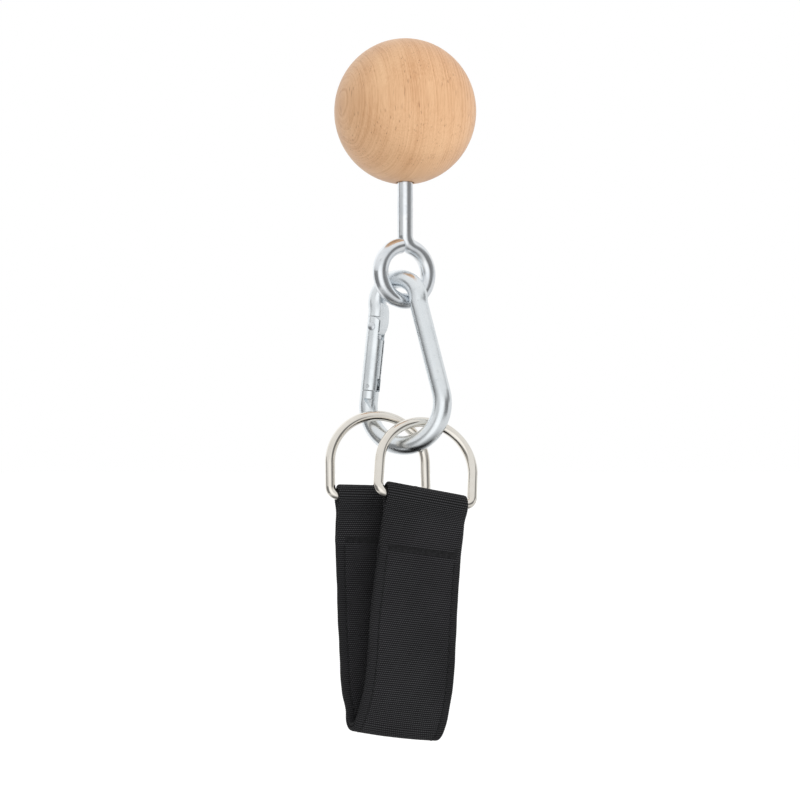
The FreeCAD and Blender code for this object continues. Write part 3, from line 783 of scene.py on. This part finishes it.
def webbing(name, dot_pitch=1.12):
    """Black ribbed webbing, laid out by the weave attribute; its colour carries painted highlights
    on the yarn dots of the rib crowns and painted shade between the ribs and along the sewn seam
    groove.
    """
    mat = Material(name)
    weave = mat.node("ShaderNodeAttribute", attribute_name="weave", attribute_type="GEOMETRY")
    x, along, inset = mat.separate(weave.outputs["Vector"])
    row = mat.math("DIVIDE", along, RIB_PITCH)
    rib = mat.math("ABSOLUTE", mat.math("SINE", mat.mul(row, math.pi)))
    rib = mat.power(rib, exponent=0.95)
    # dots of yarn, half a step over in every other row
    stagger = mat.mul(mat.math("MODULO", mat.math("FLOOR", row), 2.0), math.pi)
    dots = mat.math("SINE", mat.add(mat.mul(x, 2 * math.pi / dot_pitch), stagger))
    dots = mat.remap(dots, span=(-0.8, 0.9))
    place = mat.position()
    yarn = mat.combine(mat.scale(x, by=2.6), mat.scale(along, by=0.9), 0.0)
    yarn = mat.noise(yarn, rough=0.6)
    fluff = mat.noise(place, scale=2600.0, rough=0.7)
    patches = mat.noise(place, scale=26.0, rough=0.55)
    # plain selvedge bands: weaker dots
    band = mat.remap(inset, span=(3.1, 4.1), to=(1.0, 0.0))
    dots = mat.mul(dots, mat.sub(1.0, mat.scale(band, by=0.55)))
    dots = mat.add(dots, mat.scale(band, by=0.16))

    # painted highlight: the yarn dots on the rib crowns are lit in the base colour and the dips
    # between ribs get painted shade; the yarn and patch noise vary it at random
    painted_highlight = mat.remap(mat.power(dots, exponent=1.5), span=(0.0, 1.0), to=(0.34, 1.0))
    painted_highlight = mat.mul(mat.power(rib, exponent=2.5), painted_highlight)
    painted_highlight = mat.mul(painted_highlight, mat.remap(yarn, span=(0.25, 0.75), to=(0.62, 1.25), clamp=False))
    painted_highlight = mat.mul(painted_highlight, mat.remap(patches, span=(0.3, 0.7), to=(0.74, 1.18)))
    # painted shade along the sewn seam groove, darkening the webbing colour there
    seam_shade = mat.math("ABSOLUTE", mat.sub(inset, SEAM_INSET))
    seam_shade = mat.scale(mat.remap(seam_shade, span=(0.0, 0.55), to=(1.0, 0.0)), by=0.55)
    painted_highlight = mat.mul(painted_highlight, mat.sub(1.0, seam_shade))
    mat.set("Base Color", mat.mix(mat.remap(painted_highlight, span=(0.0, 1.0)),
                                  (0.0014, 0.0014, 0.0016, 1.0), (0.068, 0.068, 0.073, 1.0)))
    mat.set("Roughness", mat.remap(fluff, span=(0.3, 0.7), to=(0.62, 0.82)))
    mat.set("Specular IOR Level", 0.14)
    mat.set("Sheen Weight", 0.03)
    mat.set("Sheen Roughness", 0.45)
    height = mat.add(mat.scale(mat.mul(rib, dots), by=1.0), mat.scale(fluff, by=0.30))
    mat.set_bump(height, distance=0.00016, strength=0.8)
    return mat.material


def thread(name, base, spread, patch_scale):
    """Dark thread, lighter by the factor spread in places."""
    mat = Material(name)
    place = mat.position()
    fiber = mat.noise(place, scale=3800.0, detail=2.0, rough=0.6)
    patches = mat.noise(place, scale=patch_scale, detail=2.0, rough=0.6)
    lighter = tuple(channel * spread for channel in base)
    mat.set("Base Color", mat.mix(mat.remap(patches, span=(0.36, 0.66)),
                                  base + (1,), lighter + (1.0,)))
    mat.set("Roughness", mat.remap(fiber, span=(0.3, 0.7), to=(0.42, 0.60)))
    mat.set("Specular IOR Level", 0.35)
    mat.set_bump(fiber, distance=0.00005, strength=0.7)
    return mat.material


def nylon(name, base=(0.78, 0.78, 0.72), darken=0.9):
    """Off-white plastic with a little light passing through."""
    mat = Material(name)
    place = mat.position()
    fine = mat.noise(place, scale=700.0, rough=0.6)
    broad = mat.noise(place, scale=90.0, detail=2.0)
    darker = tuple(channel * darken for channel in base)
    mat.set("Base Color", mat.mix(mat.remap(broad, span=(0.3, 0.7)), base + (1,), darker + (1.0,)))
    mat.set("Roughness", mat.remap(fine, span=(0.3, 0.7), to=(0.34, 0.48)))
    mat.set("Subsurface Weight", 0.15)
    mat.set("Subsurface Radius", (0.001, 0.001, 0.001))
    mat.set_bump(fine, distance=0.00005, strength=0.5)
    return mat.material


def pale_floor(name):
    mat = Material(name)
    blotches = mat.noise(mat.position(), scale=40.0, detail=2.0)
    mat.set("Base Color", mat.mix(mat.remap(blotches, span=(0.3, 0.7)),
                                  (0.93, 0.93, 0.93, 1), (0.95, 0.95, 0.95, 1)))
    mat.set("Roughness", 0.9)
    mat.set("Specular IOR Level", 0.1)
    mat.set("Emission Color", (1, 1, 1, 1))
    mat.set("Emission Strength", 0.22)
    return mat.material


BALL_WOOD = wood("ball_wood", pith=(-114.34, -68.32, 0.13, -0.25), light=srgb(236, 193, 149),
                 middle=srgb(222, 175, 131), dark=srgb(192, 136, 88))
PLUG_WOOD = wood("plug_wood", pith=(22.0, -30.0, 0.55, 0.1), light=srgb(238, 202, 158),
                 middle=srgb(222, 178, 132), dark=srgb(190, 137, 90), seed=17.0)
ZINC = metal("bright_zinc", base=(0.84, 0.87, 0.89), tint=(0.76, 0.81, 0.84),
             rough=0.24, grain=0.16, mottled=0.4, bevel=0.0003, wavy=0.3, dull=0.35)
ZINC_EYE = metal("bright_zinc_wire", base=(0.87, 0.885, 0.90), tint=(0.73, 0.77, 0.82),
                 rough=0.20, grain=0.26, mottled=0.6, wavy=0.4, dull=0.8)
ZINC_SMALL = metal("zinc_hardware", base=(0.80, 0.82, 0.84), tint=(0.70, 0.71, 0.66),
                   rough=0.26, grain=0.25, mottled=0.8, bevel=0.0003, dull=0.6)
RIVET = metal("rivet_steel", base=(0.76, 0.78, 0.80), tint=(0.62, 0.65, 0.69),
              rough=0.24, grain=0.25, mottled=0.6, bevel=0.0002, dull=0.6)
SPRING = metal("spring_steel", base=(0.60, 0.60, 0.62), tint=(0.45, 0.46, 0.50),
               rough=0.28, grain=0.30, mottled=0.8, dull=0.5)
NICKEL = metal("bright_nickel", base=(0.85, 0.81, 0.745), tint=(0.77, 0.715, 0.64),
               rough=0.085, grain=0.05, mottled=0.6, wavy=0.55, dull=0.2)
NYLON = nylon("nylon_ring")
WEBBING = webbing("black_webbing")
SEAM_THREAD = thread("black_thread", base=(0.0032, 0.0032, 0.0036), spread=3.0, patch_scale=520.0)
ROW_THREAD = thread("bar_thread", base=(0.0014, 0.0014, 0.0016), spread=8.0, patch_scale=1100.0)

# CAD piece: material, slot
CAD_LOOKS = {
    "wooden_ball": (BALL_WOOD, "wood"),
    "top_plug": (PLUG_WOOD, "wood_plug"),
    "flat_washer": (ZINC_SMALL, "zinc"),
    "lock_nut": (ZINC_SMALL, "zinc"),
    "nut_insert": (NYLON, "nylon"),
    "eye_bolt": (ZINC_EYE, "zinc"),
    "hook_body": (ZINC, "zinc"),
    "gate_sleeve": (ZINC, "zinc"),
    "hinge_rivet": (RIVET, "rivet_steel"),
    "latch_pin": (RIVET, "rivet_steel"),
    "gate_plunger": (RIVET, "rivet_steel"),
    "gate_spring": (SPRING, "spring_steel"),
    "front_d_ring": (NICKEL, "nickel"),
    "back_d_ring": (NICKEL, "nickel"),
}
for piece_name, (material, slot) in CAD_LOOKS.items():
    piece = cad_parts[piece_name]
    piece.data.materials.clear()
    piece.data.materials.append(material)

# ------------------------------------------------------------------ sling pieces
outer_strip = build_strip("webbing_outer", strip_track(BACK, FRONT), phase=0.13)
inner_strip = build_strip("webbing_inner", strip_track(FRONT, BACK), phase=0.47)
for strip in (outer_strip, inner_strip):
    strip.data.materials.append(WEBBING)

seams = []
for face in (1, -1):
    for edge in (-1, 1):
        seams += seam_run(face, edge)
edge_stitching = join_threads("edge_stitching", seams)
edge_stitching.data.materials.append(SEAM_THREAD)

row_threads = []
for leg in (FRONT, BACK):
    for face in (-1, 1):
        row_threads += cross_row(leg, face)
row_threads.append(back_tack(FRONT, face=-1, x=20.2, above=3.6, below=1.4))
row_threads.append(back_tack(BACK, face=1, x=-19.8, above=3.0, below=1.6))
cross_stitching = join_threads("cross_stitching", row_threads)
cross_stitching.data.materials.append(ROW_THREAD)

# two places along the direction towards the back, in metres; each sling piece's transform is baked
# into its mesh
TOWARDS_BACK = vec(-0.2588, 0.9659, 0.0448)
BLEND_START, BLEND_END = TOWARDS_BACK * -0.0306, TOWARDS_BACK * -0.0278
for piece in (outer_strip, inner_strip, edge_stitching, cross_stitching):
    tuple(BLEND_START)
    tuple(BLEND_END)
    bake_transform(piece)
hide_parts("strap_front", "strap_back")

# ------------------------------------------------------------------ studio
scene = bpy.context.scene
scene.view_settings.view_transform = "Standard"
scene.view_settings.look = "None"
scene.view_settings.exposure = 0.0
scene.view_settings.gamma = 1.0

# Dark panels mirrored in the metal: azimuth range, elevation range, softness (degrees), strength.
# Azimuth is 0 behind the camera and grows to the right.
DARK_PANELS = [
    ((-98, -39), (-36, 8), 4, 0.80),
    ((-104, -84), (-34, 13), 2, 0.85),
    ((31, 78), (-14, 18), 4, 0.85),
    ((64, 104), (6, 26), 3, 0.75),
]


def build_world():
    """White to the camera, panelled to reflections, smoothly graded to diffuse light."""
    world = bpy.data.worlds.new("studio")
    scene.world = world
    world.use_nodes = True
    sky = Graph(world.node_tree)
    rays = sky.node("ShaderNodeLightPath")
    x, y, z = sky.separate(sky.node("ShaderNodeTexCoord").outputs["Generated"])
    degrees = 180 / math.pi
    azimuth = sky.mul(sky.math("ARCTAN2", x, sky.mul(y, -1.0)), degrees)
    elevation = sky.mul(sky.math("ARCSINE", z), degrees)

    def window(value, start, end, soft):
        rise = sky.remap(value, span=(start - soft, start + soft))
        fall = sky.remap(value, span=(end - soft, end + soft), to=(1.0, 0.0))
        return sky.mul(rise, fall)

    def panel(azimuths, elevations, soft):
        return sky.mul(window(azimuth, *azimuths, soft), window(elevation, *elevations, soft))

    base = sky.remap(elevation, span=(-60.0, 60.0), to=(0.70, 0.92))
    shades = [sky.scale(panel(azimuths, elevations, soft), by=strength)
              for azimuths, elevations, soft, strength in DARK_PANELS]
    low = sky.remap(elevation, span=(-64.0, -38.0), to=(1.0, 0.0))
    shades.append(sky.scale(low, by=0.88))
    dark = shades[0]
    for shade in shades[1:]:
        dark = sky.math("MAXIMUM", dark, shade)
    glow_behind = panel(azimuths=(-28, 16), elevations=(-32, 17), soft=6)
    glow_left = panel(azimuths=(-180, -106), elevations=(-60, 60), soft=4)
    glow = sky.math("MAXIMUM", glow_behind, sky.scale(glow_left, by=0.6))
    mirrored = sky.mul(base, sky.sub(1.0, sky.scale(dark, by=0.88)))
    mirrored = sky.add(mirrored, sky.scale(glow, by=0.35))

    # diffuse light: brighter from the right, a little weaker from straight above and below
    tilt = sky.add(sky.scale(z, by=-0.03), sky.scale(x, by=0.22))
    diffuse = sky.sub(sky.add(0.985, tilt), sky.scale(sky.mul(z, z), by=0.10))

    def background(color, strength=None):
        made = sky.node("ShaderNodeBackground")
        made.inputs[0].default_value = color
        if strength is not None:
            sky.put(made.inputs[1], strength)
        return made.outputs[0]

    to_camera = background((1, 1, 1, 1))
    to_gloss = background((0.985, 0.995, 1.0, 1), mirrored)
    to_diffuse = background((1.0, 1.0, 1.0, 1), diffuse)
    lit = sky.fill(sky.node("ShaderNodeMixShader"),
                   rays.outputs["Is Glossy Ray"], to_diffuse, to_gloss)[0]
    seen = sky.fill(sky.node("ShaderNodeMixShader"),
                    rays.outputs["Is Camera Ray"], lit, to_camera)[0]
    sky.fill(sky.node("ShaderNodeOutputWorld"), seen)


def build_floor():
    """A pale floor well below the hanging part."""
    bpy.ops.mesh.primitive_plane_add(size=8.0, location=(0, 0, -0.46))
    floor = bpy.context.object
    floor.name = "floor"
    floor.data.materials.append(pale_floor("pale_floor"))
    floor.visible_glossy = False
    floor.visible_diffuse = False


def build_key_light():
    light = bpy.data.lights.new("key", "AREA")
    light.energy = 1.4
    light.size = 0.8
    key = bpy.data.objects.new("key", light)
    key.location = (0.30, -0.80, 0.10)
    key.rotation_euler = (math.radians(80.0), 0, math.radians(20.6))
    key.visible_glossy = False
    scene.collection.objects.link(key)


def build_camera():
    lens = bpy.data.cameras.new("camera")
    lens.sensor_width = 36.0
    lens.lens = 51.82
    lens.clip_start = 0.01
    lens.clip_end = 50.0
    camera = bpy.data.objects.new("camera", lens)
    camera.location = (-0.00294, -0.650, -0.1623)
    camera.rotation_euler = (math.radians(90), 0, 0)
    scene.collection.objects.link(camera)
    scene.camera = camera


build_world()
build_floor()
build_key_light()
build_camera()
